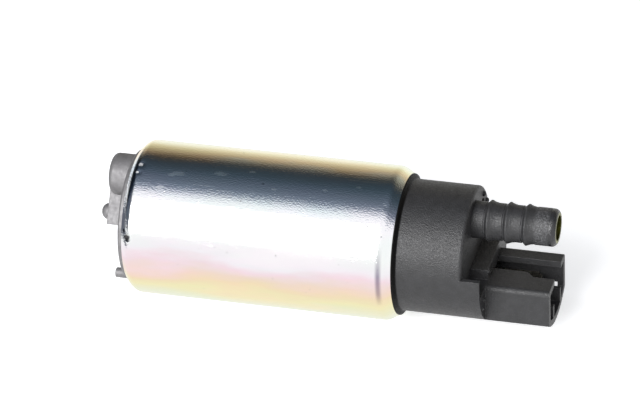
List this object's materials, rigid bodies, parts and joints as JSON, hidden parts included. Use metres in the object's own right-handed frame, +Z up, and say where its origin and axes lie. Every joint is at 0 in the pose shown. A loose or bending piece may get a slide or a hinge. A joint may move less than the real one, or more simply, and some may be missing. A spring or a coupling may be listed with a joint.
{
  "type": "in-tank fuel pump",
  "caption": "Electric in-tank fuel pump: round steel case with rolled ends, cast inlet cover with snout and pin, black outlet cap with barbed nipple and blade connector.",
  "frame": {"origin": "on the shaft axis at the middle of the case's straight clamp band", "axes": "+X along the shaft towards the outlet, +Z up through the nipple as the pump lies on its side, +Y sideways"},
  "size_m": [0.1153, 0.038, 0.038],
  "materials": {
    "zinc_steel": "zinc-plated and chromated steel, satin bright, pale gold with pink and green tints",
    "cast_aluminium": "matte die-cast aluminium, fine grain",
    "black_plastic": "glass-filled black plastic, fine sparkling grain",
    "impeller_plastic": "moulded phenolic, matte",
    "natural_plastic": "natural acetal, matte",
    "phenolic": "brown phenolic, matte",
    "ground_steel": "ground steel",
    "laminations": "stacked electrical steel, stamped edges",
    "copper": "enamelled copper wire",
    "bronze": "sintered bronze",
    "tinned_brass": "tinned brass, dull",
    "olive_sleeve": "chromated brass sleeve, olive yellow",
    "ferrite": "sintered ferrite, matte dark grey",
    "carbon": "pressed carbon, matte",
    "spring_steel": "drawn spring wire",
    "seal_rubber": "nitrile rubber"
  },
  "bodies": {
    "housing": {"steel_case": "zinc_steel", "inlet_cover": "cast_aluminium", "pump_housing": "cast_aluminium", "thrust_pad": "ground_steel", "lower_bush": "bronze", "magnet_a": "ferrite", "magnet_b": "ferrite", "magnet_clip_a": "spring_steel", "magnet_clip_b": "spring_steel", "brush_holder": "natural_plastic", "upper_bush": "bronze", "brush_spring_a": "spring_steel", "brush_spring_b": "spring_steel", "brush_lead_a": "copper", "brush_lead_b": "copper", "choke_core_a": "ferrite", "choke_core_b": "ferrite", "choke_coil_a": "copper", "choke_coil_b": "copper", "terminal_a": "tinned_brass", "terminal_b": "tinned_brass", "outlet_cap": "black_plastic", "barbed_nipple": "black_plastic", "connector_shroud": "black_plastic", "cap_seal": "seal_rubber", "nipple_sleeve": "olive_sleeve", "check_seat": "bronze", "check_spring": "spring_steel", "relief_spring": "spring_steel", "relief_plug": "bronze"},
    "rotor": {"shaft": "ground_steel", "impeller": "impeller_plastic", "armature_core": "laminations", "windings": "copper", "commutator_hub": "phenolic", "commutator": "carbon", "thrust_washers": "natural_plastic"},
    "brush_slider_a": {"brush_a": "carbon"},
    "brush_slider_b": {"brush_b": "carbon"},
    "check_valve_poppet": {"check_valve": "phenolic"},
    "relief_valve_ball": {"relief_ball": "ground_steel"}
  },
  "joints": [
    {"name": "rotor_spin", "type": "hinge", "parent": "housing", "child": "rotor", "pos_m": [0, 0, 0], "axis": [1, 0, 0], "continuous": true},
    {"name": "brush_a_slide", "type": "slide", "parent": "housing", "child": "brush_slider_a", "axis": [1, 0, 0], "range_m": [0, 0.0025], "stiffness_N_per_m": 60, "springref_m": -0.004, "deforming": ["brush_spring_a", "brush_lead_a"]},
    {"name": "brush_b_slide", "type": "slide", "parent": "housing", "child": "brush_slider_b", "axis": [1, 0, 0], "range_m": [0, 0.0025], "stiffness_N_per_m": 60, "springref_m": -0.004, "deforming": ["brush_spring_b", "brush_lead_b"]},
    {"name": "check_valve_lift", "type": "slide", "parent": "housing", "child": "check_valve_poppet", "axis": [1, 0, 0], "range_m": [0, 0.002], "stiffness_N_per_m": 80, "springref_m": -0.003, "deforming": ["check_spring"]},
    {"name": "relief_ball_lift", "type": "slide", "parent": "housing", "child": "relief_valve_ball", "axis": [1, 0, 0], "range_m": [0, 0.0012], "stiffness_N_per_m": 400, "springref_m": -0.003, "deforming": ["relief_spring"]}
  ]
}
